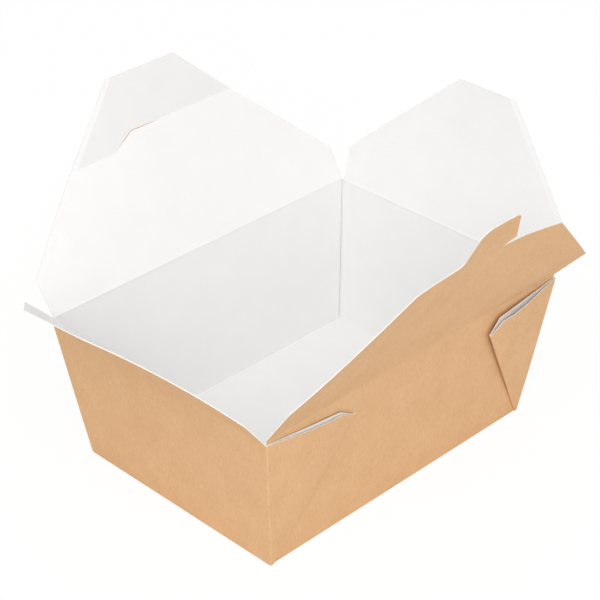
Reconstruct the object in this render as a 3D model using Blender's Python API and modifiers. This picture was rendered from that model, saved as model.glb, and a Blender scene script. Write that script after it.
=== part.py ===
"""Takeaway box folded from one sheet of kraft board, standing open.

The tray is one folded sheet: a base, four walls that flare upwards, and at each corner a gusset
that is folded in two and glued to the outside of the long wall. Four lid flaps turn on creases
at the rim. The two end flaps close first, then the back flap with its slit, then the front flap,
whose hook tongue locks in that slit. Each crease sits one board higher than the one before, so
that the closed flaps lie on each other.

Lengths are in metres. The origin is the centre of the underside, +Z is up, X runs along the long
side, and the front flap with the tongue is on the -Y side.
"""

import math

import bmesh
import bpy
from mathutils import Matrix, Vector

# Board and fits
BOARD = 0.0005  # thickness of the board
PLAY = 0.0003  # clearance between sheets that move past each other
GLUE_GAP = 0.00015  # between a long wall and the gusset glued to it
POCKET_GAP = 0.0003  # between the two layers of a folded gusset

# Tray, measured over the outside of the walls
BASE_LENGTH = 0.197
BASE_WIDTH = 0.140
RIM_LENGTH = 0.2225
RIM_WIDTH = 0.1615
HEIGHT = 0.088  # floor to the creases of the end flaps

# Gussets
GUSSET_TOP_DROP = math.radians(5.3)  # fall of its upper edge from the corner to the fold
GUSSET_TIP_CUT = 0.0118  # length that the cut corner takes off the upper edge
GUSSET_FOLD_CUT = 0.0085  # length that it takes off the folded edge

# Flaps: each has short upright ends, corners cut at 45 degrees and a straight outer edge
BACK_FLAP_END = 0.0195
BACK_FLAP_REACH = 0.104
FRONT_FLAP_END = 0.0285
END_FLAP_END = 0.0205
END_FLAP_REACH = 0.082
CORNER_ROUND = 0.0015  # radius of the cut corners

# Slit in the back flap: a straight run and a slanting run that falls away from its left end
SLIT_DISTANCE = 0.075  # crease to the straight run
SLIT_LEFT = -0.0205  # left end of the straight run
SLIT_RIGHT = -0.001  # right end of the straight run
SLIT_SLANT = 0.0155  # how far the slanting run goes on to the left
SLIT_SLANT_FALL = 0.0084  # how far it falls towards the crease
SLIT_WIDTH = 0.0005

# Tongue of the front flap, from the outer edge of that flap
TONGUE_LENGTH = 0.027
TONGUE_LEFT = -0.0175
TONGUE_NECK_RIGHT = 0.013
TONGUE_TIP_RIGHT = 0.010
BARB_REACH = 0.009  # how far the hook stands out past the neck
BARB_LIFT = 0.0032  # height of the hook's point over the outer edge
NOTCH_DEPTH = 0.0008  # how far the notch cuts below the outer edge
NOTCH_MOUTH = 0.012  # width of the notch along the outer edge
TONGUE_ROUND = 0.006  # radius of the tongue's outer corners
TONGUE_ROOT_ROUND = 0.0048  # radius where its plain edge meets the flap
BARB_ROUND = 0.0008

# Angles of the flaps as the box stands open: 0 is level and outward, 180 is closed
FRONT_ANGLE = math.radians(62)
BACK_ANGLE = math.radians(61)
LEFT_ANGLE = math.radians(44)
RIGHT_ANGLE = math.radians(66)

KRAFT = (0.723, 0.445, 0.238, 1.0)
WHITE = (0.855, 0.847, 0.831, 1.0)
PAPER_ROUGHNESS = 0.75
LINING_ROUGHNESS = 0.45

# Worked out from the sizes above
CREASE_STEP = BOARD + PLAY
END_CREASE = HEIGHT
BACK_CREASE = END_CREASE + CREASE_STEP
FRONT_CREASE = BACK_CREASE + CREASE_STEP
RIM_DROP = BOARD / 2 + PLAY  # crease to the edge of the wall under it
END_RIM = END_CREASE - RIM_DROP
BACK_RIM = BACK_CREASE - RIM_DROP
FRONT_RIM = FRONT_CREASE - RIM_DROP
END_FLARE = (RIM_LENGTH - BASE_LENGTH) / 2 / HEIGHT
SIDE_FLARE = (RIM_WIDTH - BASE_WIDTH) / 2 / HEIGHT
GLUE_PITCH = BOARD + GLUE_GAP  # middle of the wall to the middle of the glued layer
POCKET_PITCH = BOARD + POCKET_GAP
FOLD_ROUND = 0.6 * BOARD  # radius of a folded edge at the middle of the board
FOLD_STEPS = 2  # flats around each quarter turn of a fold
GUSSET_FOOT = PLAY + 5 * BOARD  # width of the gusset at the base, as narrow as its folds allow
SLIT_CUTTER = 10 * BOARD  # thickness of the slit's cutter


def half_length(height):
    """Outside of an end wall, measured from the middle of the box."""
    return BASE_LENGTH / 2 + END_FLARE * height


def half_width(height):
    """Outside of a long wall, measured from the middle of the box."""
    return BASE_WIDTH / 2 + SIDE_FLARE * height


def gusset_slope():
    """How far a gusset's fold moves inward for each unit of height.

    Flat, the gusset fills what the base corner and the two flared walls leave of a full turn, and
    its fold halves that angle. At the base it starts as wide as its folds, so it gains less.
    """
    end_slant = math.hypot(1, END_FLARE)
    side_slant = math.hypot(1, SIDE_FLARE)
    front_edge = math.atan(END_FLARE / side_slant)
    end_edge = math.atan(SIDE_FLARE / end_slant)
    half_gusset = (math.pi / 2 - front_edge - end_edge) / 2
    return math.tan(half_gusset - front_edge) * side_slant - GUSSET_FOOT / HEIGHT


def gusset_fold(height):
    """Distance of the gusset's folded edge from the middle of the long wall."""
    return BASE_LENGTH / 2 - GUSSET_FOOT - gusset_slope() * height


def new_collection(name):
    collection = bpy.data.collections.new(name)
    bpy.context.scene.collection.children.link(collection)
    return collection


def material(name, color, roughness):
    made = bpy.data.materials.new(name)
    made.use_nodes = True
    shader = made.node_tree.nodes["Principled BSDF"]
    shader.inputs["Base Color"].default_value = color
    shader.inputs["Roughness"].default_value = roughness
    shader.inputs["Metallic"].default_value = 0.0
    made.diffuse_color = color
    return made


def new_object(name, mesh, collection):
    made = bpy.data.objects.new(name, mesh)
    collection.objects.link(made)
    return made


def as_cutter(cutter):
    cutter.hide_render = True
    cutter.display_type = "WIRE"
    return cutter


def box(name, low, high, collection):
    """A block between two corners."""
    mesh = bpy.data.meshes.new(name)
    bm = bmesh.new()
    bmesh.ops.create_cube(bm, size=1)
    size = Vector(high) - Vector(low)
    bmesh.ops.scale(bm, vec=size, verts=bm.verts)
    bmesh.ops.translate(bm, vec=Vector(low) + size / 2, verts=bm.verts)
    bm.to_mesh(mesh)
    bm.free()
    return new_object(name, mesh, collection)


def solidify(target, thickness):
    """Thickness to both sides of a sheet."""
    modifier = target.modifiers.new("board", "SOLIDIFY")
    modifier.thickness = thickness
    modifier.offset = 0.0


def combine(target, other, operation):
    modifier = target.modifiers.new(other.name, "BOOLEAN")
    modifier.operation = operation
    modifier.solver = "EXACT"
    modifier.object = other


def rounded(corners, steps=4):
    """An outline from (x, y, radius) corners, each turned into an arc of its radius."""
    outline = []
    for index, (x, y, radius) in enumerate(corners):
        corner = Vector((x, y))
        if radius == 0:
            outline.append(corner)
            continue
        before = (Vector(corners[index - 1][:2]) - corner).normalized()
        after = (Vector(corners[(index + 1) % len(corners)][:2]) - corner).normalized()
        half_angle = before.angle(after) / 2
        centre = corner + (before + after).normalized() * radius / math.sin(half_angle)
        start = corner + before * radius / math.tan(half_angle) - centre
        end = corner + after * radius / math.tan(half_angle) - centre
        sweep = start.angle_signed(end)
        for step in range(steps + 1):
            outline.append(centre + Matrix.Rotation(-sweep * step / steps, 2) @ start)
    return outline


def sheet(name, outline, collection):
    """A flat sheet in the XY plane, which takes its thickness from Solidify."""
    mesh = bpy.data.meshes.new(name)
    bm = bmesh.new()
    bm.faces.new([bm.verts.new((point[0], point[1], 0)) for point in outline])
    bm.normal_update()
    bm.to_mesh(mesh)
    bm.free()
    return new_object(name, mesh, collection)


def gusset_tip():
    """The upper edge's outer end and the fold's end, either side of the gusset's cut corner."""
    fall = math.tan(GUSSET_TOP_DROP)
    corner = half_length(END_RIM)
    peak = (END_RIM - fall * (corner - gusset_fold(0))) / (1 + fall * gusset_slope())
    tip = (gusset_fold(peak) + GUSSET_TIP_CUT, peak + fall * GUSSET_TIP_CUT)
    return tip, peak - GUSSET_FOLD_CUT / math.hypot(1, gusset_slope())


def wall_turn(height):
    """Where a long wall turns back over itself, a board and a clearance inside the end wall."""
    return half_length(height) - BOARD / 2 - BOARD - PLAY


def wall_path(height):
    """Middle of the board around a quarter of the tray, from a long wall's middle to an end's.

    It runs along the long wall, turns back over it as the glued layer of the gusset, turns again
    at the gusset's fold as the outer layer, and goes round the corner into the end wall.
    """
    side = half_width(height) - BOARD / 2
    end = half_length(height) - BOARD / 2
    turn = wall_turn(height)
    fold = gusset_fold(height)
    glued = side + GLUE_PITCH
    outer = glued + POCKET_PITCH
    flat = fold + FOLD_ROUND
    (tip_x, tip_height), _ = gusset_tip()
    tip_flat = gusset_fold(tip_height) + FOLD_ROUND
    tip = flat + (turn - flat) * (tip_x - tip_flat) / (wall_turn(tip_height) - tip_flat)
    corners = [
        (0, -side, 0),
        (turn, -side, 0),
        (turn, -glued, 0),
        (tip, -glued, 0),
        (fold, -glued, FOLD_ROUND),
        (fold, -outer, FOLD_ROUND),
        (tip, -outer, 0),
        (end, -outer, FOLD_ROUND),
        (end, 0, 0),
    ]
    return rounded(corners, FOLD_STEPS)


def wall_tops(rim):
    """Height of the cut edge at each point of wall_path, under a long wall's rim."""
    (_, tip_height), fold_height = gusset_tip()
    arc = FOLD_STEPS + 1
    return (
        [rim, rim, END_RIM, tip_height]
        + [fold_height] * arc * 2
        + [tip_height]
        + [END_RIM] * arc
        + [END_RIM]
    )


def beside(path, distance):
    """A path that runs beside another at a distance, with mitred corners."""
    runs = [(end - start).normalized() for start, end in zip(path, path[1:])]
    moved = []
    for index, point in enumerate(path):
        before = runs[max(index - 1, 0)]
        after = runs[min(index, len(runs) - 1)]
        outward = Vector((before.y + after.y, -before.x - after.x))
        moved.append(point + outward * distance / (1 + before.dot(after)))
    return moved


def wall_sections(rim):
    """The board's four corners at each point around a quarter of the tray.

    They are the foot's outside and inside and the cut edge's outside and inside.
    """
    sections = []
    for index, top in enumerate(wall_tops(rim)):
        section = []
        for height in (0, top):
            path = wall_path(height)
            for distance in (BOARD / 2, -BOARD / 2):
                point = beside(path, distance)[index]
                section.append((point.x, point.y, height))
        sections.append(section)
    return sections


def build_tray(collection, cutters):
    """The folded sheet: walls and gussets lofted along their path, the base joined to them."""
    # one half of the ring, from the front wall's middle to the back wall's
    front = wall_sections(FRONT_RIM)
    back = [[(x, -y, z) for x, y, z in section] for section in wall_sections(BACK_RIM)]
    mesh = bpy.data.meshes.new("tray")
    bm = bmesh.new()
    rows = [[bm.verts.new(corner) for corner in section] for section in front + back[-2::-1]]
    for row, following in zip(rows, rows[1:]):
        # the faces outside, over the cut edge, inside and under the foot
        for lower, upper in ((0, 2), (2, 3), (3, 1), (1, 0)):
            bm.faces.new((row[lower], following[lower], following[upper], row[upper]))
    bm.to_mesh(mesh)
    bm.free()
    tray = new_object("tray", mesh, collection)

    mirror = tray.modifiers.new("left half", "MIRROR")
    mirror.use_axis = (True, False, False)
    mirror.merge_threshold = 0.00001

    # the panel ends in the middle of the walls' board
    half = (BASE_LENGTH / 2 - BOARD / 2, BASE_WIDTH / 2 - BOARD / 2)
    base = box("base_panel", (-half[0], -half[1], 0), (half[0], half[1], BOARD), cutters)
    combine(tray, as_cutter(base), "UNION")
    return tray


def flap_outline(half_hinge, end_height, reach):
    """Corners of a plain flap: upright ends, corners cut at 45 degrees, straight outer edge."""
    half_edge = half_hinge - (reach - end_height)
    return [
        (-half_hinge, 0, 0),
        (half_hinge, 0, 0),
        (half_hinge, end_height, CORNER_ROUND),
        (half_edge, reach, CORNER_ROUND),
        (-half_edge, reach, CORNER_ROUND),
        (-half_hinge, end_height, CORNER_ROUND),
    ]


def tongue_outline(reach):
    """Corners of the hook tongue, from its root on the left to the mouth of its notch."""
    top = reach + TONGUE_LENGTH
    barb_x = TONGUE_NECK_RIGHT + BARB_REACH
    return [
        (TONGUE_LEFT, reach, TONGUE_ROOT_ROUND),
        (TONGUE_LEFT, top, TONGUE_ROUND),
        (TONGUE_TIP_RIGHT, top, TONGUE_ROUND),
        (barb_x, reach + BARB_LIFT, BARB_ROUND),
        (TONGUE_NECK_RIGHT, reach - NOTCH_DEPTH, 0),
        (TONGUE_NECK_RIGHT + NOTCH_MOUTH, reach, CORNER_ROUND),
    ]


def hinge(name, x, y, height, heading, collection):
    """An empty on a crease, with its X axis along it and its Y axis pointing out of the box."""
    made = bpy.data.objects.new(name, None)
    collection.objects.link(made)
    made.location = (x, y, height)
    made.rotation_euler.z = heading
    made.empty_display_size = 0.02
    return made


def build_flap(name, outline, crease, angle, collection):
    """A flap on its crease, opened to its angle."""
    flap = sheet(name, rounded(outline), collection)
    solidify(flap, BOARD)
    flap.parent = crease
    flap.rotation_euler.x = angle
    return flap


def slit_cutter(cutters):
    """The slit as a narrow strip along its two straight runs."""
    half = SLIT_WIDTH / 2
    left = SLIT_LEFT - SLIT_SLANT
    foot = SLIT_DISTANCE - SLIT_SLANT_FALL
    slant = math.atan2(SLIT_SLANT_FALL, SLIT_SLANT)
    mitre = half * math.tan(slant / 2)
    across = Vector((-math.sin(slant), math.cos(slant))) * half
    outline = [
        (SLIT_RIGHT, SLIT_DISTANCE + half),
        (SLIT_LEFT - mitre, SLIT_DISTANCE + half),
        (left + across.x, foot + across.y),
        (left - across.x, foot - across.y),
        (SLIT_LEFT + mitre, SLIT_DISTANCE - half),
        (SLIT_RIGHT, SLIT_DISTANCE - half),
    ]
    slit = sheet("slit", outline, cutters)
    solidify(slit, SLIT_CUTTER)
    return as_cutter(slit)


def main():
    for leftover in list(bpy.data.objects):
        bpy.data.objects.remove(leftover)
    parts = new_collection("takeaway_box")
    cutters = new_collection("cutters")
    kraft = material("kraft", KRAFT, PAPER_ROUGHNESS)
    lining = material("lining", WHITE, LINING_ROUGHNESS)

    tray = build_tray(parts, cutters)
    tray.data.materials.append(kraft)

    end_hinge = half_length(END_CREASE) - BOARD / 2
    back_hinge = half_width(BACK_CREASE) - BOARD / 2
    front_hinge = half_width(FRONT_CREASE) - BOARD / 2
    long_half = half_length(END_CREASE) - BOARD - PLAY
    short_half = half_width(END_CREASE) - BOARD - 2 * PLAY

    right = hinge("right_hinge", end_hinge, 0, END_CREASE, -math.pi / 2, parts)
    left = hinge("left_hinge", -end_hinge, 0, END_CREASE, math.pi / 2, parts)
    back = hinge("back_hinge", 0, back_hinge, BACK_CREASE, 0, parts)
    front = hinge("front_hinge", 0, -front_hinge, FRONT_CREASE, math.pi, parts)

    end_outline = flap_outline(short_half, END_FLAP_END, END_FLAP_REACH)
    for name, crease, angle in (
        ("right_flap", right, RIGHT_ANGLE),
        ("left_flap", left, LEFT_ANGLE),
    ):
        flap = build_flap(name, end_outline, crease, angle, parts)
        flap.data.materials.append(lining)

    back_outline = flap_outline(long_half, BACK_FLAP_END, BACK_FLAP_REACH)
    back_flap = build_flap("back_flap", back_outline, back, BACK_ANGLE, parts)
    back_flap.data.materials.append(lining)
    slit = slit_cutter(cutters)
    slit.parent = back
    slit.rotation_euler.x = BACK_ANGLE
    combine(back_flap, slit, "DIFFERENCE")

    # closed, the front flap's outer edge lies along the straight run of the slit
    front_reach = front_hinge + back_hinge - SLIT_DISTANCE
    front_outline = flap_outline(long_half, FRONT_FLAP_END, front_reach)
    tongue = [(-x, y, radius) for x, y, radius in tongue_outline(front_reach)]
    front_outline[4:4] = tongue
    front_flap = build_flap("front_flap", front_outline, front, FRONT_ANGLE, parts)
    front_flap.data.materials.append(kraft)


main()
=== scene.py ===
"""Takeaway box folded from one sheet of kraft board with a white coated inside, standing open."""

import math

import bmesh
import bpy
from mathutils import Euler, Matrix, Vector


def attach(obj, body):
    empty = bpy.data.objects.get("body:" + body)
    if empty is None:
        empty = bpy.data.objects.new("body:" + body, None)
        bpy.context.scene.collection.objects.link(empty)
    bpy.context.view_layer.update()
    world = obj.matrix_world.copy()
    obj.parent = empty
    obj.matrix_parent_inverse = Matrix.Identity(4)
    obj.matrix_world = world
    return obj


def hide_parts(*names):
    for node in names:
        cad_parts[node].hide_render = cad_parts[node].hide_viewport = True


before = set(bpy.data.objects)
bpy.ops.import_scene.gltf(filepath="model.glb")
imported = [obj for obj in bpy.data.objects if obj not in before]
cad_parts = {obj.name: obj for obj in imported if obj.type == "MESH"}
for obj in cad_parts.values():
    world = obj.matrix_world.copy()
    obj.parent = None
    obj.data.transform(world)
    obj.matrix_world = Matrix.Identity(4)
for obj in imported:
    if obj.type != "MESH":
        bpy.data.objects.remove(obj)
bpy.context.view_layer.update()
bpy.ops.object.select_all(action="DESELECT")


# Tray: one folded sheet of board with a base, four flared walls and a gusset at each corner, which
# is folded in two and glued to the outside of the long wall. The board is brown kraft outside and
# coated white inside, with a pale cut edge.
BOARD = 0.0005
PLAY = 0.0003  # clearance between sheets that move past each other
GLUED = 0.00065  # middle of the long wall to the middle of the layer glued to it
POCKET = 0.0008  # middle of that layer to the middle of the outer one
HEIGHT = 0.088
BASE_HALF = (0.0985, 0.0700)
TOP_HALF = (0.11125, 0.08075)
END_FLARE = (TOP_HALF[0] - BASE_HALF[0]) / HEIGHT
SIDE_FLARE = (TOP_HALF[1] - BASE_HALF[1]) / HEIGHT
END_CREASE = HEIGHT  # the long walls' creases lie higher, each by a board and its clearance
BACK_CREASE = END_CREASE + BOARD + PLAY
FRONT_CREASE = BACK_CREASE + BOARD + PLAY
FLOOR = BOARD / 2  # middle of the base panel's board
CORNER_CUT = 0.00055  # fall of the cut edge beside the ends of a flap
GUSSET_FOOT = PLAY + 5 * BOARD
END_LEAN = math.atan(END_FLARE / math.hypot(1, SIDE_FLARE))
SIDE_LEAN = math.atan(SIDE_FLARE / math.hypot(1, END_FLARE))
GUSSET_LEAN = (math.pi / 2 - END_LEAN - SIDE_LEAN) / 2 - END_LEAN
GUSSET_SLOPE = math.tan(GUSSET_LEAN) * math.hypot(1, SIDE_FLARE) - GUSSET_FOOT / HEIGHT
GUSSET_FALL = math.tan(math.radians(5.3))  # fall of a gusset's top edge from the corner
GUSSET_TIP_CUT = 0.0118
GUSSET_FOLD_CUT = 0.0085
FOLD_ROUND = 0.0003
FOLD_STEPS = 4
FOLD_POINTS = FOLD_STEPS + 1
NEAR = 1e-5  # points closer than this are in the same place


def half_length(height):
    return BASE_HALF[0] + END_FLARE * height


def half_width(height):
    return BASE_HALF[1] + SIDE_FLARE * height


def gusset_fold(height):
    """Distance of a gusset's folded edge from the middle of the long wall."""
    return BASE_HALF[0] - GUSSET_FOOT - GUSSET_SLOPE * height


def wall_turn(height):
    """Where a long wall turns back over itself, just inside the end wall."""
    return half_length(height) - BOARD / 2 - BOARD - PLAY


corner_top = END_CREASE - CORNER_CUT
fold_peak = corner_top - GUSSET_FALL * (half_length(corner_top) - gusset_fold(0))
fold_peak /= 1 + GUSSET_FALL * GUSSET_SLOPE
tip_top = fold_peak + GUSSET_FALL * GUSSET_TIP_CUT
fold_top = fold_peak - GUSSET_FOLD_CUT / math.hypot(1, GUSSET_SLOPE)
tip_share = (GUSSET_TIP_CUT - FOLD_ROUND) / (wall_turn(tip_top) - gusset_fold(tip_top) - FOLD_ROUND)


def rounded(corners):
    """An outline from (x, y, radius) corners, each turned into an arc of its radius."""
    outline = []
    for index, (x, y, radius) in enumerate(corners):
        corner = Vector((x, y))
        if radius == 0:
            outline.append(corner)
            continue
        before = (Vector(corners[index - 1][:2]) - corner).normalized()
        after = (Vector(corners[index + 1][:2]) - corner).normalized()
        half_angle = before.angle(after) / 2
        centre = corner + (before + after).normalized() * radius / math.sin(half_angle)
        start = corner + before * radius / math.tan(half_angle) - centre
        end = corner + after * radius / math.tan(half_angle) - centre
        sweep = start.angle_signed(end)
        for step in range(FOLD_POINTS):
            outline.append(centre + Matrix.Rotation(-sweep * step / FOLD_STEPS, 2) @ start)
    return outline


def wall_path(height):
    """Middle of the board from a long wall's middle, round its gusset, to the end wall's middle."""
    side = half_width(height) - BOARD / 2
    end = half_length(height) - BOARD / 2
    turn = wall_turn(height)
    fold = gusset_fold(height)
    glued = side + GLUED
    outer = glued + POCKET
    flat = fold + FOLD_ROUND
    tip = flat + (turn - flat) * tip_share
    return rounded([
        (0, -side, 0),
        (turn, -side, FOLD_ROUND),
        (turn, -glued, FOLD_ROUND),
        (tip, -glued, 0),
        (fold, -glued, FOLD_ROUND),
        (fold, -outer, FOLD_ROUND),
        (tip, -outer, 0),
        (end, -outer, 2 * FOLD_ROUND),
        (end, -side, 0),
        (end, 0, 0),
    ])


def wall_columns(crease):
    """Foot and top of the sheet at each point of the path, under a long wall's crease."""
    tops = [crease] * (1 + FOLD_POINTS) + [corner_top] * FOLD_POINTS + [tip_top]
    tops += [fold_top] * 2 * FOLD_POINTS + [tip_top] + [corner_top] * FOLD_POINTS + [END_CREASE] * 2
    feet = wall_path(FLOOR)
    columns = []
    for index, top in enumerate(tops):
        edge = wall_path(top)[index]
        foot = feet[index]
        columns.append((Vector((foot.x, foot.y, FLOOR)), Vector((edge.x, edge.y, top))))
    return columns


def across(column):
    return tuple(Vector((point.x, -point.y, point.z)) for point in column)


def select_where(piece, kind, test):
    """Selects the vertices, edges or faces of the piece in edit mode whose points all pass."""
    bpy.ops.mesh.select_all(action="DESELECT")
    bm = bmesh.from_edit_mesh(piece.data)
    chosen = {"VERT": bm.verts, "EDGE": bm.edges, "FACE": bm.faces}[kind]
    bpy.ops.mesh.select_mode(type=kind)
    for item in chosen:
        points = [item.co] if kind == "VERT" else [vertex.co for vertex in item.verts]
        if all(test(point) for point in points):
            item.select_set(True)
    bm.select_flush_mode()
    bmesh.update_edit_mesh(piece.data)


def slice_sheet(normal, distances, piece=None, test=None):
    """Adds rows of edges where planes cross the sheet, all over it or where the test passes."""
    for distance in distances:
        if test:
            select_where(piece, "FACE", test)
        else:
            bpy.ops.mesh.select_all(action="SELECT")
        bpy.ops.mesh.bisect(plane_co=Vector(normal) * distance, plane_no=normal)


front = wall_columns(FRONT_CREASE)
back = [across(column) for column in wall_columns(BACK_CREASE)]
half_ring = front + back[-2::-1]

bpy.ops.mesh.primitive_plane_add(size=1)
tray = bpy.context.object
tray.name = "box_tray"
(first_foot, first_top), (next_foot, next_top) = half_ring[:2]
for vertex, place in zip(tray.data.vertices, (first_foot, next_foot, first_top, next_top)):
    vertex.co = place

bpy.ops.object.mode_set(mode="EDIT")
bpy.ops.mesh.select_mode(type="VERT")
bpy.ops.mesh.select_all(action="DESELECT")
bm = bmesh.from_edit_mesh(tray.data)
bm.verts.ensure_lookup_table()
bm.verts[1].select_set(True)
bm.verts[3].select_set(True)
bm.select_flush_mode()
bmesh.update_edit_mesh(tray.data)
for foot, top in half_ring[2:]:
    # the sheet is carried on from its free edge, round each fold
    bpy.ops.mesh.extrude_region_move()
    bm = bmesh.from_edit_mesh(tray.data)
    ends = sorted((vertex for vertex in bm.verts if vertex.select), key=lambda vertex: vertex.co.z)
    ends[0].co = foot
    ends[1].co = top
    bmesh.update_edit_mesh(tray.data)

# the base panel runs in from the feet of the end wall and meets the long walls' feet
side_foot = half_width(FLOOR) - BOARD / 2
end_foot = half_length(FLOOR) - BOARD / 2
turn_foot = wall_turn(FLOOR) - FOLD_ROUND
select_where(
    tray, "EDGE", lambda p: p.z < FLOOR + NEAR and p.x > end_foot - NEAR and abs(p.y) < side_foot + NEAR
)
bpy.ops.mesh.extrude_region_move(TRANSFORM_OT_translate={"value": (turn_foot - end_foot, 0, 0)})
bpy.ops.mesh.extrude_region_move(TRANSFORM_OT_translate={"value": (-turn_foot, 0, 0)})
bpy.ops.mesh.select_all(action="SELECT")
bpy.ops.mesh.remove_doubles(threshold=2 * NEAR)
bpy.ops.mesh.normals_make_consistent(inside=True)
bpy.ops.object.mode_set(mode="OBJECT")

mirror = tray.modifiers.new("left half", "MIRROR")
mirror.merge_threshold = 2 * NEAR
bpy.ops.object.modifier_apply(modifier=mirror.name)

# rows for the walls' slight bow, and narrow ones under each crease for its bead
BOW_ROWS = (0.003, 0.010, 0.020, 0.031, 0.042, 0.053, 0.063, 0.071, 0.077, 0.082)
BOW_COLUMNS = (0.012, 0.030, 0.048, 0.060, 0.072, 0.084, 0.096)
END_COLUMNS = (0.015, 0.035, 0.055)
BEAD_ROWS = (0.0003, 0.0006, 0.0009, 0.0013)
STRIP_FOOT = BOW_ROWS[-1] - BOARD  # foot of the strip of wall under the creases
STRIP_INSIDE = 0.1085  # where the strip lies further out than this, it is an end wall's
FLAP_END = half_width(END_CREASE) - BOARD - 2 * PLAY


def on_end_strip(point):
    return abs(point.x) > STRIP_INSIDE and point.z > STRIP_FOOT


def on_long_strip(side):
    return lambda point: point.y * side > BASE_HALF[1] and point.z > STRIP_FOOT


bpy.ops.object.mode_set(mode="EDIT")
slice_sheet((0, 0, 1), BOW_ROWS)
slice_sheet((1, 0, 0), [side * x for x in BOW_COLUMNS for side in (-1, 1)])
slice_sheet((0, 1, 0), [side * y for y in END_COLUMNS for side in (-1, 1)])
for row in BEAD_ROWS:
    slice_sheet((0, 0, 1), [FRONT_CREASE - row], tray, on_long_strip(-1))
    slice_sheet((0, 0, 1), [BACK_CREASE - row], tray, on_long_strip(1))
    slice_sheet((0, 0, 1), [END_CREASE - row], tray, on_end_strip)
slice_sheet((0, 1, 0), [-FLAP_END, FLAP_END], tray, on_end_strip)
bpy.ops.object.mode_set(mode="OBJECT")

# each wall bows in a little, and each gusset stands off its wall in its own way: the right front
# one is the loosest, and the left front one the widest. The four values are the gusset's turn, the
# bulge and the fall of its outer layer's edge, and its extra width at the fold
GUSSETS = {
    (1, -1): (math.radians(2.4), 0.0026, 0.0015, 0.0),
    (-1, -1): (math.radians(0.3), 0.0007, 0.0016, 0.0105),
    (1, 1): (math.radians(1.0), 0.0015, 0.0004, 0.0),
    (-1, 1): (math.radians(1.3), 0.0012, 0.0003, 0.0),
}
WIDE_HANG = 0.22  # how far a widened gusset's tip hangs, over its extra width
WALL_BOW = 0.0006
FOOT_DRAW = 0.0013  # how far a gusset's fold draws in to the corner's point at its foot
FOOT_RISE = 0.030  # below this height the layers of a gusset press together
FOOT_PRESS = 0.4  # share of their distance from the wall that they lose at the foot


def signed(value):
    return 1 if value > 0 else -1


for vertex in tray.data.vertices:
    x, y, z = vertex.co
    depth = abs(y) - half_width(z) + BOARD / 2
    rise = math.sin(math.pi * min(z / HEIGHT, 1))
    if abs(x) > half_length(z) - BOARD and abs(y) < half_width(z) - BOARD:
        vertex.co.x -= signed(x) * WALL_BOW * rise * math.cos(math.pi / 2 * y / half_width(z))
    elif depth > -PLAY:
        vertex.co.y -= signed(y) * WALL_BOW * rise * math.cos(math.pi / 2 * x / half_length(z))
    if depth > PLAY:
        lift, bulge, fall, width = GUSSETS[signed(x), signed(y)]
        reach = max(wall_turn(z) - abs(x), 0)
        foot = max(1 - z / FOOT_RISE, 0)
        share = min(reach / (wall_turn(z) - gusset_fold(z)), 1)
        spread = width * share ** 3 * z / HEIGHT
        vertex.co.x += signed(x) * (FOOT_DRAW * (1 - z / HEIGHT) * share - spread)
        hang = min(share / (1 - tip_share), (1 - share) / tip_share)
        vertex.co.z -= WIDE_HANG * width * max(hang, 0) * z / HEIGHT
        vertex.co.y += signed(y) * (math.tan(lift) * reach * (1 - foot) - FOOT_PRESS * foot * depth)
        if depth > GLUED + POCKET / 2:
            swell = math.sin(math.pi * share ** 1.4) * (z / HEIGHT) ** 2
            vertex.co.y += signed(y) * bulge * swell
            vertex.co.z -= fall * swell


# the board's finishes: each is a pattern over the sheet, on its UV map in metres
def shader_input(material, name):
    return material.node_tree.nodes["Principled BSDF"].inputs[name]


def fibre_noise(material, stretch, detail=3.0, offset=0.0):
    """Noise over the sheet's UV map, with (across, along) features to the metre."""
    tree = material.node_tree
    sheet_place = tree.nodes.new("ShaderNodeUVMap")
    mapping = tree.nodes.new("ShaderNodeMapping")
    mapping.inputs["Location"].default_value = (offset, offset, 0)
    mapping.inputs["Scale"].default_value = (*stretch, 1)
    noise = tree.nodes.new("ShaderNodeTexNoise")
    noise.inputs["Scale"].default_value = 1.0
    noise.inputs["Detail"].default_value = detail
    tree.links.new(sheet_place.outputs["UV"], mapping.inputs["Vector"])
    tree.links.new(mapping.outputs["Vector"], noise.inputs["Vector"])
    return noise.outputs["Fac"]


def ramp(material, value, stops):
    """A ramp over a value, from two (position, colour) stops."""
    node = material.node_tree.nodes.new("ShaderNodeValToRGB")
    for element, (position, color) in zip(node.color_ramp.elements, stops):
        element.position = position
        element.color = (*color, 1)
    material.node_tree.links.new(value, node.inputs["Fac"])
    return node.outputs["Color"]


def overlay(material, kind, factor, base, layer):
    """Lays one colour over another by a value or a fixed share."""
    node = material.node_tree.nodes.new("ShaderNodeMix")
    node.data_type = "RGBA"
    node.blend_type = kind
    if isinstance(factor, float):
        node.inputs["Factor"].default_value = factor
    else:
        material.node_tree.links.new(factor, node.inputs["Factor"])
    material.node_tree.links.new(base, node.inputs["A"])
    material.node_tree.links.new(layer, node.inputs["B"])
    return node.outputs["Result"]


def relief(material, height, depth, under=None):
    node = material.node_tree.nodes.new("ShaderNodeBump")
    node.inputs["Distance"].default_value = depth
    node.inputs["Strength"].default_value = 1.0
    material.node_tree.links.new(height, node.inputs["Height"])
    if under:
        material.node_tree.links.new(under, node.inputs["Normal"])
    return node.outputs["Normal"]


def new_finish(name):
    material = bpy.data.materials.new(name)
    material.use_nodes = True
    return material


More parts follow.
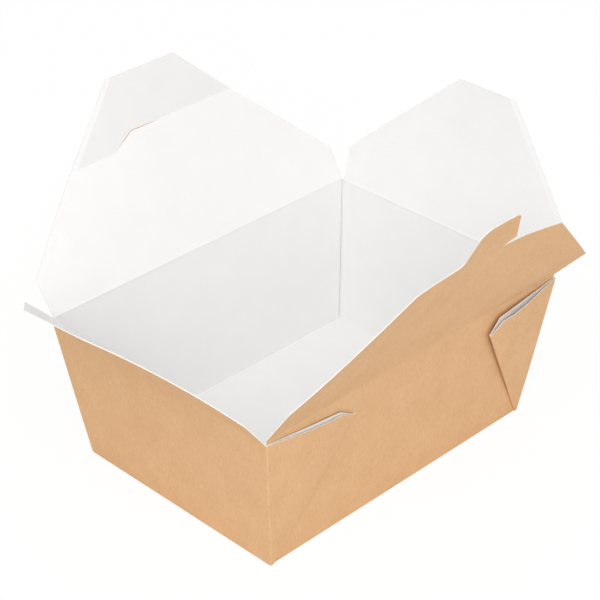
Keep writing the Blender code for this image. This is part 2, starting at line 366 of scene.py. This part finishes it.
# brown kraft: cloudy pulp, short fibres along the grain, fine dark and light flecks
kraft = new_finish("brown_kraft")
BROWN_PULP = ((0.3, (0.702, 0.423, 0.209)), (0.7, (0.748, 0.463, 0.242)))
FIBRE_SHADE = ((0.35, (0.94, 0.935, 0.925)), (0.65, (1.04, 1.04, 1.045)))
FLECK_SHARE = ((0.66, (0, 0, 0)), (0.74, (1, 1, 1)))
FLECK_BROWN = ((0.4, (0.42, 0.225, 0.10)), (0.6, (0.58, 0.34, 0.165)))
clouds = ramp(kraft, fibre_noise(kraft, (70, 45)), BROWN_PULP)
grain = ramp(kraft, fibre_noise(kraft, (1500, 260), 2.0), FIBRE_SHADE)
pulp = overlay(kraft, "MULTIPLY", 1.0, clouds, grain)
dark_flecks = ramp(kraft, fibre_noise(kraft, (2100, 700), 1.0, 3.0), FLECK_SHARE)
fleck_color = ramp(kraft, fibre_noise(kraft, (300, 300), 1.0), FLECK_BROWN)
flecked = overlay(kraft, "MIX", dark_flecks, pulp, fleck_color)
kraft.node_tree.links.new(flecked, shader_input(kraft, "Base Color"))
sheen = ramp(kraft, fibre_noise(kraft, (500, 140), 2.0), ((0.3, (0.66,) * 3), (0.7, (0.80,) * 3)))
kraft.node_tree.links.new(sheen, shader_input(kraft, "Roughness"))
fibres = relief(kraft, fibre_noise(kraft, (2600, 500), 3.0), 0.00002)
felt = relief(kraft, fibre_noise(kraft, (240, 200), 2.0, 5.0), 0.00005, fibres)
kraft.node_tree.links.new(felt, shader_input(kraft, "Normal"))

# coated white: a thin plastic film over bleached board, a little glossy, the fibres under it, and
# painted shade where the attribute says so, darkening the outer parts of the flaps as if they caught less
# light
WARM_WHITE = ((0.3, (0.886, 0.876, 0.868)), (0.7, (0.902, 0.893, 0.886)))
SPECK_SHADE = ((0.3, (0.985, 0.985, 0.983)), (0.6, (1, 1, 1)))
coated = new_finish("coated_white")
tint = ramp(coated, fibre_noise(coated, (60, 50), 2.0), WARM_WHITE)
specks = ramp(coated, fibre_noise(coated, (900, 800), 1.0, 2.0), SPECK_SHADE)
lining = overlay(coated, "MULTIPLY", 1.0, tint, specks)
# painted shade: the attribute darkens the coated colour by up to a tenth on the flaps' outer parts
painted_shade = coated.node_tree.nodes.new("ShaderNodeAttribute")
painted_shade.attribute_name = "painted_shade"
painted_shade_mix = coated.node_tree.nodes.new("ShaderNodeMix")
painted_shade_mix.data_type = "RGBA"
painted_shade_mix.blend_type = "MULTIPLY"
painted_shade_mix.inputs["B"].default_value = (0.90, 0.903, 0.90, 1)
coated.node_tree.links.new(painted_shade.outputs["Fac"], painted_shade_mix.inputs["Factor"])
coated.node_tree.links.new(lining, painted_shade_mix.inputs["A"])
coated.node_tree.links.new(painted_shade_mix.outputs["Result"], shader_input(coated, "Base Color"))
film = ramp(coated, fibre_noise(coated, (160, 120), 2.0), ((0.3, (0.40,) * 3), (0.7, (0.50,) * 3)))
coated.node_tree.links.new(film, shader_input(coated, "Roughness"))
orange_peel = relief(coated, fibre_noise(coated, (420, 420), 2.0, 7.0), 0.00003)
coated.node_tree.links.new(orange_peel, shader_input(coated, "Normal"))

# the cut edge: pale pressed pulp between the two faces
PRESSED_PULP = ((0.35, (0.81, 0.775, 0.715)), (0.65, (0.87, 0.85, 0.81)))
cut_edge = new_finish("cut_edge")
layers = ramp(cut_edge, fibre_noise(cut_edge, (900, 900), 2.0), PRESSED_PULP)
cut_edge.node_tree.links.new(layers, shader_input(cut_edge, "Base Color"))
torn_fibres = relief(cut_edge, fibre_noise(cut_edge, (3000, 3000), 2.0), 0.00003)
cut_edge.node_tree.links.new(torn_fibres, shader_input(cut_edge, "Normal"))
shader_input(cut_edge, "Roughness").default_value = 0.85

# the sheet takes its thickness, with its kraft, coated and cut faces as separate materials
KRAFT, COATED, CUT = 0, 1, 2


def thicken(piece):
    for finish in (kraft, coated, cut_edge):
        piece.data.materials.append(finish)
    board = piece.modifiers.new("board", "SOLIDIFY")
    board.thickness = BOARD
    board.offset = 0
    board.use_even_offset = True
    board.material_offset = COATED
    board.material_offset_rim = CUT
    bpy.context.view_layer.objects.active = piece
    bpy.ops.object.modifier_apply(modifier=board.name)


# the half-round edge of the board at a crease: (step outward, width there over the last width)
NOSE = ((0.000125, 0.866), (0.0000915, 0.577), (0.0000325, 0.174))


def round_at_crease(piece, at_crease, outward, centre, kraft_side):
    """Rounds the board's edge along a crease, where a wall and a flap turn on each other."""
    bpy.ops.object.mode_set(mode="EDIT")
    select_where(piece, "FACE", at_crease)
    centre = Vector(centre)
    for step, width in NOSE:
        bpy.ops.mesh.extrude_region_move(TRANSFORM_OT_translate={"value": Vector(outward) * step})
        centre += Vector(outward) * step
        size = [width if part else 1 for part in kraft_side]
        bpy.ops.transform.resize(value=size, center_override=centre)
    bpy.ops.object.mode_set(mode="OBJECT")
    for face in piece.data.polygons:
        if all(at_crease(piece.data.vertices[index].co) for index in face.vertices):
            face.material_index = KRAFT if face.normal.dot(Vector(kraft_side)) > 0 else COATED


BEAD = 0.0002  # height of the bead that the crease raises on the coated side


def bead(distance):
    return BEAD * math.cos(math.pi / 2 * min(abs(distance) / BEAD_ROWS[-1], 1)) ** 2


END_TOP = half_length(END_CREASE) - 1.5 * BOARD  # just inside the top of an end wall
thicken(tray)
for side, crease in ((-1, FRONT_CREASE), (1, BACK_CREASE)):
    hinge_line = (0, side * (half_width(crease) - BOARD / 2), crease)
    round_at_crease(
        tray,
        lambda p: p.z > crease - BOARD / 4 and p.y * side > BASE_HALF[1],
        (0, side * SIDE_FLARE, 1),
        hinge_line,
        (0, side, 0),
    )
for side in (-1, 1):
    round_at_crease(
        tray,
        lambda p: p.z > END_CREASE - BOARD / 4 and p.x * side > END_TOP and abs(p.y) < FLAP_END + PLAY / 2,
        (side * END_FLARE, 0, 1),
        (side * (half_length(END_CREASE) - BOARD / 2), 0, END_CREASE),
        (side, 0, 0),
    )
for vertex in tray.data.vertices:
    x, y, z = vertex.co
    side_gap = half_width(z) - BOARD / 2 - abs(y)
    end_gap = half_length(z) - BOARD / 2 - abs(x)
    if 0 < side_gap < BOARD:
        crease = FRONT_CREASE if y < 0 else BACK_CREASE
        vertex.co.y -= signed(y) * bead(crease - z) * min(side_gap / BOARD * 2, 1)
    elif 0 < end_gap < BOARD and abs(y) < FLAP_END + PLAY:
        vertex.co.x -= signed(x) * bead(END_CREASE - z) * min(end_gap / BOARD * 2, 1)


def lay_pattern(piece):
    """A UV map in metres over the sheet, which the fibres in its materials follow."""
    bpy.ops.object.mode_set(mode="EDIT")
    bpy.ops.mesh.select_all(action="SELECT")
    bpy.ops.uv.cube_project(cube_size=1.0)
    bpy.ops.object.mode_set(mode="OBJECT")


lay_pattern(tray)
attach(tray, "tray")
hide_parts("tray")


# End flaps: the two short flaps, which fold in first. Each is part of the sheet beyond an end wall's
# crease, with upright ends, corners cut at 45 degrees and a straight outer edge.
RIGHT_UPRIGHTS = (0.0205, 0.0244)  # its back end and its front end
LEFT_UPRIGHTS = (0.0205, 0.0260)  # its front end and its back end
END_FLAP_REACH = 0.082
CUT_ROUND = 0.0006
HIGHLIGHT_BAND = 0.0028  # width of the band along a slanting cut that the painted shade leaves out, a painted highlight
HIGHLIGHT_BAND_FADE = 0.0004
ROW_STEP = 0.008  # between the rows of edges that let a flap bend


def flap_blank(name, half_crease, uprights, reach):
    """A flat flap with its crease on the X axis and its coated side up, left in edit mode.

    The uprights are how high its ends at -X and +X stand before the board is cut at 45 degrees.
    """
    bpy.ops.mesh.primitive_plane_add(size=1)
    flap = bpy.context.object
    flap.name = name
    bpy.ops.object.mode_set(mode="EDIT")
    bpy.ops.transform.resize(value=(2 * half_crease, reach, 1), center_override=(0, 0, 0))
    bpy.ops.transform.translate(value=(0, reach / 2, 0))
    bpy.ops.mesh.flip_normals()
    for side, upright in zip((-1, 1), uprights):
        select_where(flap, "VERT", lambda p: p.y > reach - NEAR and p.x * side > half_crease - NEAR)
        bpy.ops.mesh.bevel(offset=reach - upright, affect="VERTICES")
    return flap


def slice_highlight_band(side, half_crease, upright):
    """Adds the rows of edges that bound the painted highlight band along a flap's slanting cut on one side,
    which the painted shade leaves out.
    """
    for inside in (HIGHLIGHT_BAND, HIGHLIGHT_BAND + HIGHLIGHT_BAND_FADE):
        slice_sheet((side, 1, 0), [(half_crease + upright - inside * math.sqrt(2)) / 2])


def off_highlight_band(side, x, y, half_crease, upright):
    """0 on the painted highlight band along a flap's slanting cut, which the painted shade leaves out, and
    1 on the rest of its face.
    """
    inside = (half_crease + upright - side * x - y) / math.sqrt(2)
    return min(max((inside - HIGHLIGHT_BAND) / HIGHLIGHT_BAND_FADE, 0), 1)


def rows_to(count):
    """The rows of a crease's bead, and then as many even rows out over the flap."""
    return BEAD_ROWS + tuple(ROW_STEP * row for row in range(1, count + 1))


def columns(step, count):
    """Even columns over a flap, as many on each side of its middle one."""
    return [step * column for column in range(-count, count + 1)]


def round_corners(flap, at_corner, cut, segments=3):
    select_where(flap, "VERT", at_corner)
    bpy.ops.mesh.bevel(offset=cut, affect="VERTICES", segments=segments)


def finish_flap(flap, lean, painted_shade_at):
    """Gives a flap its thickness, its rounded and beaded crease, its bend and its painted shade.

    The bend is the angle at (x, y) by which the flap leans away from the angle at its crease,
    The last argument gives how much painted shade, from 0 to 1, darkens the coated side at (x, y).
    """
    bpy.ops.object.mode_set(mode="OBJECT")
    thicken(flap)
    round_at_crease(flap, lambda p: p.y < BOARD / 10, (0, -1, 0), (0, 0, 0), (0, 0, -1))
    # painted shade: each point's share of the darkening, which the coated finish reads
    painted_shade = flap.data.attributes.new("painted_shade", "FLOAT", "POINT")
    for vertex in flap.data.vertices:
        x, y, z = vertex.co
        painted_shade.data[vertex.index].value = painted_shade_at(x, y)
        if z > 0:
            vertex.co.z += bead(y) * min(z / BOARD * 2, 1)
        vertex.co.z -= max(y, 0) * math.tan(math.radians(lean(x, y)))
    lay_pattern(flap)


def hang_flap(flap, hinge_point, heading, angle):
    """Turns a flap about its crease to where it stands in the open box."""
    flap.location = hinge_point
    flap.rotation_euler = (angle, 0, heading)
    bpy.ops.object.transform_apply()


end_hinge = half_length(END_CREASE) - BOARD / 2


def end_flap(name, body, side, angle, uprights, lean):
    """An end flap on the crease on that side, with painted shade growing out to its edge, but for a painted
    highlight band along one cut.
    """
    flap = flap_blank(name, FLAP_END, uprights, END_FLAP_REACH)
    round_corners(flap, lambda p: p.y > uprights[0] / 2, CUT_ROUND)
    slice_sheet((0, 1, 0), rows_to(10))
    slice_sheet((1, 0, 0), columns(0.010, 7))
    slice_highlight_band(1, FLAP_END, uprights[1])

    # painted shade: the coated side darkens towards the flap's outer edge
    def painted_shade_at(x, y):
        return 0.64 * y / END_FLAP_REACH * off_highlight_band(1, x, y, FLAP_END, uprights[1])

    finish_flap(flap, lean, painted_shade_at)
    hang_flap(flap, (side * end_hinge, 0, END_CREASE), -side * math.pi / 2, angle)
    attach(flap, body)
    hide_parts(body)


def right_lean(x, y):
    """The flap bows in towards its outer edge, and its back end stands more upright."""
    return -1.6 * y / END_FLAP_REACH - (9 * (x / FLAP_END) ** 2 if x < 0 else 0)


def left_lean(x, y):
    """The flap leans in, less so towards its outer edge and more so at its front end."""
    return -7.5 + 6.8 * y / END_FLAP_REACH + 3 * x / FLAP_END


end_flap("right_end_flap", "right_flap", 1, math.radians(66), RIGHT_UPRIGHTS, right_lean)
end_flap("left_end_flap", "left_flap", -1, math.radians(44), LEFT_UPRIGHTS, left_lean)


# Back flap: the long flap that closes second. A slit is cut in it for the tongue of the front flap,
# and the board beyond the slit is bent in a little, along a line that carries the slit on.
LONG_CREASE = half_length(END_CREASE) - BOARD - PLAY
BACK_UPRIGHTS = (0.0216, 0.0195)  # its left end and its right end
BACK_REACH = 0.1064
SLIT_Y = 0.075
SLIT_X = (-0.036, -0.0205, -0.001)
SLIT_FALL = 0.0084
SLIT_GAP = 0.00005
SLIT_GROOVE = 0.0004  # width to which the cut opens on the coated side
BEND = 4.0  # degrees that the board turns in at the bend
BEND_SHADE_LINE = 0.0003  # half the width of the painted shade line along the bend left of the slit


def slit_line(x):
    """How far from the crease the slit, and the bend that carries it on, lies."""
    share = (x - SLIT_X[0]) / (SLIT_X[1] - SLIT_X[0])
    return SLIT_Y - SLIT_FALL * (1 - min(max(share, 0), 1))


back_flap = flap_blank("back_slit_flap", LONG_CREASE, BACK_UPRIGHTS, BACK_REACH)
round_corners(back_flap, lambda p: p.y > BACK_UPRIGHTS[0] / 2, CUT_ROUND)
slice_sheet((1, 0, 0), SLIT_X)
bend_rows = [SLIT_Y - SLIT_FALL + step * BEND_SHADE_LINE for step in range(3)]
slice_sheet((0, 1, 0), bend_rows, back_flap, lambda p: p.x < SLIT_X[0] + NEAR)
slice_sheet((0, 1, 0), [SLIT_Y, SLIT_Y + 2 * BEND_SHADE_LINE], back_flap, lambda p: p.x > SLIT_X[1] - NEAR)
slant = Vector((-SLIT_FALL, SLIT_X[1] - SLIT_X[0], 0)).normalized()
for past in (0, 2 * BEND_SHADE_LINE):
    select_where(back_flap, "FACE", lambda p: SLIT_X[0] - NEAR < p.x < SLIT_X[1] + NEAR)
    bpy.ops.mesh.bisect(plane_co=(SLIT_X[1], SLIT_Y + past, 0), plane_no=slant)
slice_sheet((0, 1, 0), rows_to(8) + (0.083, 0.091, 0.099))
slice_sheet((1, 0, 0), columns(0.012, 9))
slice_highlight_band(-1, LONG_CREASE, BACK_UPRIGHTS[0])
select_where(
    back_flap,
    "EDGE",
    lambda p: SLIT_X[0] - NEAR < p.x < SLIT_X[2] + NEAR and abs(p.y - slit_line(p.x)) < NEAR,
)
bpy.ops.mesh.edge_split(type="EDGE")
bm = bmesh.from_edit_mesh(back_flap.data)
for vertex in bm.verts:
    # the far lip is drawn off the near one, and the slit's two ends stay closed
    x, y = vertex.co.xy
    centres = [face.calc_center_median() for face in vertex.link_faces]
    between_ends = SLIT_X[0] + NEAR < x < SLIT_X[2] - NEAR
    on_far_lip = abs(y - slit_line(x)) < NEAR and all(centre.y > slit_line(centre.x) for centre in centres)
    if between_ends and on_far_lip:
        vertex.co.y += SLIT_GAP
bmesh.update_edit_mesh(back_flap.data)


def back_lean(x, y):
    """The flap's left end leans out, and all that lies past the slit turns in."""
    past = max(y - slit_line(x), 0)
    return (7.5 * (x / LONG_CREASE) ** 2 if x < 0 else 0) - BEND * past / max(y, BOARD)


def back_painted_shade(x, y):
    """Painted shade: all past the slit is darker, as if it caught less light, and the painted shade line
    along the bend on its left the darkest.
    """
    past = y - slit_line(x)
    if x < SLIT_X[0] and abs(past - BEND_SHADE_LINE) < BEND_SHADE_LINE / 2:
        return 1
    painted_shade_at = 0.72 * min(max(past / (2 * BEND_SHADE_LINE), 0), 1)
    return painted_shade_at * off_highlight_band(-1, x, y, LONG_CREASE, BACK_UPRIGHTS[0])


finish_flap(back_flap, back_lean, back_painted_shade)
for vertex in back_flap.data.vertices:
    # on the coated side the cut opens into a groove
    x, y, z = vertex.co
    past = y - slit_line(x)
    on_coated_side = z > -max(y, 0) * math.tan(math.radians(back_lean(x, y)))
    if on_coated_side and SLIT_X[0] + NEAR < x < SLIT_X[2] - NEAR and -NEAR < past < 2 * SLIT_GAP:
        vertex.co.y += SLIT_GROOVE / 2 if past > SLIT_GAP / 2 else -SLIT_GROOVE / 2
# painted shade: the cut faces in the slit take the brown kraft finish instead of the pale cut edge, so the
# slit reads as a dark line
for face in back_flap.data.polygons:
    x, y = face.center.xy
    in_slit = SLIT_X[0] < x < SLIT_X[2] and abs(y - slit_line(x)) < SLIT_GROOVE
    if in_slit and face.material_index == CUT:
        face.material_index = KRAFT
back_hinge = half_width(BACK_CREASE) - BOARD / 2
hang_flap(back_flap, (0, back_hinge, BACK_CREASE), 0, math.radians(61))
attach(back_flap, "back_flap")
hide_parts("back_flap")


# Front flap: the long flap that closes last, over the other three. Its hook tongue is pushed into
# the back flap's slit and holds the box shut. Seen from outside the box, the hook points right.
FRONT_UPRIGHT = 0.0285
TONGUE_LENGTH = 0.027
TONGUE_LEFT = 0.0180
TONGUE_NECK = -0.0115
TONGUE_TIP = -0.0085
HOOK = (-0.0195, 0.0032)  # its point, along the flap and out past the flap's edge
NOTCH_DEPTH = 0.0013
NOTCH_MOUTH = -0.027
front_hinge = half_width(FRONT_CREASE) - BOARD / 2
front_reach = front_hinge + back_hinge - SLIT_Y
tongue_top = front_reach + TONGUE_LENGTH


def at_point(x, y):
    return lambda p: math.hypot(p.x - x, p.y - y) < NEAR


front_flap = flap_blank("front_tongue_flap", LONG_CREASE, (FRONT_UPRIGHT, FRONT_UPRIGHT), front_reach)
round_corners(front_flap, lambda p: p.y > FRONT_UPRIGHT / 2, CUT_ROUND)
slice_sheet((1, 0, 0), (TONGUE_LEFT, TONGUE_NECK, NOTCH_MOUTH))
select_where(
    front_flap, "EDGE", lambda p: p.y > front_reach - NEAR and TONGUE_NECK - NEAR < p.x < TONGUE_LEFT + NEAR
)
bpy.ops.mesh.extrude_region_move(TRANSFORM_OT_translate={"value": (0, TONGUE_LENGTH, 0)})
slice_sheet((0, 1, 0), [front_reach + HOOK[1]], front_flap, lambda p: p.y > front_reach - NEAR)
for place, target in (
    ((TONGUE_NECK, tongue_top), (TONGUE_TIP, tongue_top)),
    ((TONGUE_NECK, front_reach + HOOK[1]), (HOOK[0], front_reach + HOOK[1])),
    ((TONGUE_NECK, front_reach), (TONGUE_NECK, front_reach - NOTCH_DEPTH)),
):
    select_where(front_flap, "VERT", at_point(*place))
    bpy.ops.transform.translate(value=(target[0] - place[0], target[1] - place[1], 0))
bpy.ops.mesh.select_all(action="SELECT")
bpy.ops.mesh.select_mode(type="FACE")
bpy.ops.mesh.dissolve_faces()
for place, cut, segments in (
    ((TONGUE_LEFT, front_reach), 0.0048, 8),
    ((TONGUE_LEFT, tongue_top), 0.006, 8),
    ((TONGUE_TIP, tongue_top), 0.0037, 6),
    ((HOOK[0], front_reach + HOOK[1]), 0.0008, 5),
    ((NOTCH_MOUTH, front_reach), 0.0003, 3),
):
    round_corners(front_flap, at_point(*place), cut, segments)
slice_sheet((0, 1, 0), rows_to(14))
slice_sheet((1, 0, 0), columns(0.010, 11))


def front_lean(x, y):
    """The flap leans out more towards its ends, most at the right, which is at -X here."""
    return 0.25 + (14.5 if x < 0 else 6.5) * (x / LONG_CREASE) ** 2


# painted shade: the coated side darkens a little towards the flap's outer edge
finish_flap(front_flap, front_lean, lambda x, y: 0.2 * max(y / front_reach, 0) ** 2)
hang_flap(front_flap, (0, -front_hinge, FRONT_CREASE), math.pi, math.radians(62))
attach(front_flap, "front_flap")
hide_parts("front_flap")


# Studio: a pale floor and white surroundings, two broad soft lamps, and a camera at the height and
# side from which the open box shows its inside, its front corner and its tongue.
bpy.ops.mesh.primitive_plane_add(size=6, location=(0, 0, -0.0002))
floor = bpy.context.object
floor.name = "studio_floor"
paper = new_finish("studio_paper")
shader_input(paper, "Base Color").default_value = (0.9, 0.9, 0.9, 1)
shader_input(paper, "Roughness").default_value = 1.0
shader_input(paper, "Specular IOR Level").default_value = 0.0


def seen_share(tree, share):
    """The share for what the camera sees, straight or in a gloss, and 0 for light on the object."""
    path = tree.nodes.new("ShaderNodeLightPath")
    seen = path.outputs["Is Camera Ray"]
    for ray in ("Is Glossy Ray", "Is Transmission Ray"):
        either = tree.nodes.new("ShaderNodeMath")
        either.operation = "MAXIMUM"
        tree.links.new(seen, either.inputs[0])
        tree.links.new(path.outputs[ray], either.inputs[1])
        seen = either.outputs["Value"]
    scaled = tree.nodes.new("ShaderNodeMath")
    scaled.operation = "MULTIPLY"
    scaled.inputs[1].default_value = share
    tree.links.new(seen, scaled.inputs[0])
    return scaled.outputs["Value"]


# most of the floor's brightness, as the camera sees it, is plain white, so that its shadow is faint
tree = paper.node_tree
white = tree.nodes.new("ShaderNodeEmission")
white.inputs["Strength"].default_value = 1.02
cover = tree.nodes.new("ShaderNodeMixShader")
tree.links.new(seen_share(tree, 0.9), cover.inputs["Fac"])
tree.links.new(tree.nodes["Principled BSDF"].outputs["BSDF"], cover.inputs[1])
tree.links.new(white.outputs["Emission"], cover.inputs[2])
tree.links.new(cover.outputs["Shader"], tree.nodes["Material Output"].inputs["Surface"])
floor.data.materials.append(paper)

world = bpy.data.worlds.new("white_surroundings")
bpy.context.scene.world = world
world.use_nodes = True
sky = world.node_tree
lit = sky.nodes["Background"]
lit.inputs["Color"].default_value = (1, 1, 1, 1)
lit.inputs["Strength"].default_value = 0.65
plain = sky.nodes.new("ShaderNodeBackground")
plain.inputs["Color"].default_value = (1, 1, 1, 1)
shown = sky.nodes.new("ShaderNodeMixShader")
sky.links.new(seen_share(sky, 1.0), shown.inputs["Fac"])
sky.links.new(lit.outputs["Background"], shown.inputs[1])
sky.links.new(plain.outputs["Background"], shown.inputs[2])
sky.links.new(shown.outputs["Shader"], sky.nodes["World Output"].inputs["Surface"])


BOX_MIDDLE = Vector((0, 0, 0.06))


def lamp(name, place, size, power):
    """A square soft lamp that faces the middle of the box."""
    light = bpy.data.lights.new(name, "AREA")
    light.size = size
    light.energy = power
    holder = bpy.data.objects.new(name, light)
    bpy.context.scene.collection.objects.link(holder)
    holder.location = place
    holder.rotation_euler = (BOX_MIDDLE - Vector(place)).to_track_quat("-Z", "Y").to_euler()


lamp("front_lamp", (-1.25, -1.55, 1.5), 1.6, 22)
lamp("high_lamp", (-1.5, -0.9, 2.2), 1.8, 17)

camera = bpy.data.objects.new("camera", bpy.data.cameras.new("camera"))
bpy.context.scene.collection.objects.link(camera)
camera.data.lens = 118.02
camera.data.sensor_width = 36
camera.location = (-0.64370, -0.63687, 0.64498)
LOOK_DOWN, LOOK_ROUND, ROLL = math.radians(31.676), math.radians(-45.038), math.radians(-0.132)
aim = Euler((math.pi / 2 - LOOK_DOWN, 0, LOOK_ROUND)).to_matrix()
camera.rotation_euler = (aim @ Matrix.Rotation(ROLL, 3, "Z")).to_euler()
bpy.context.scene.camera = camera
bpy.context.scene.view_settings.view_transform = "Standard"
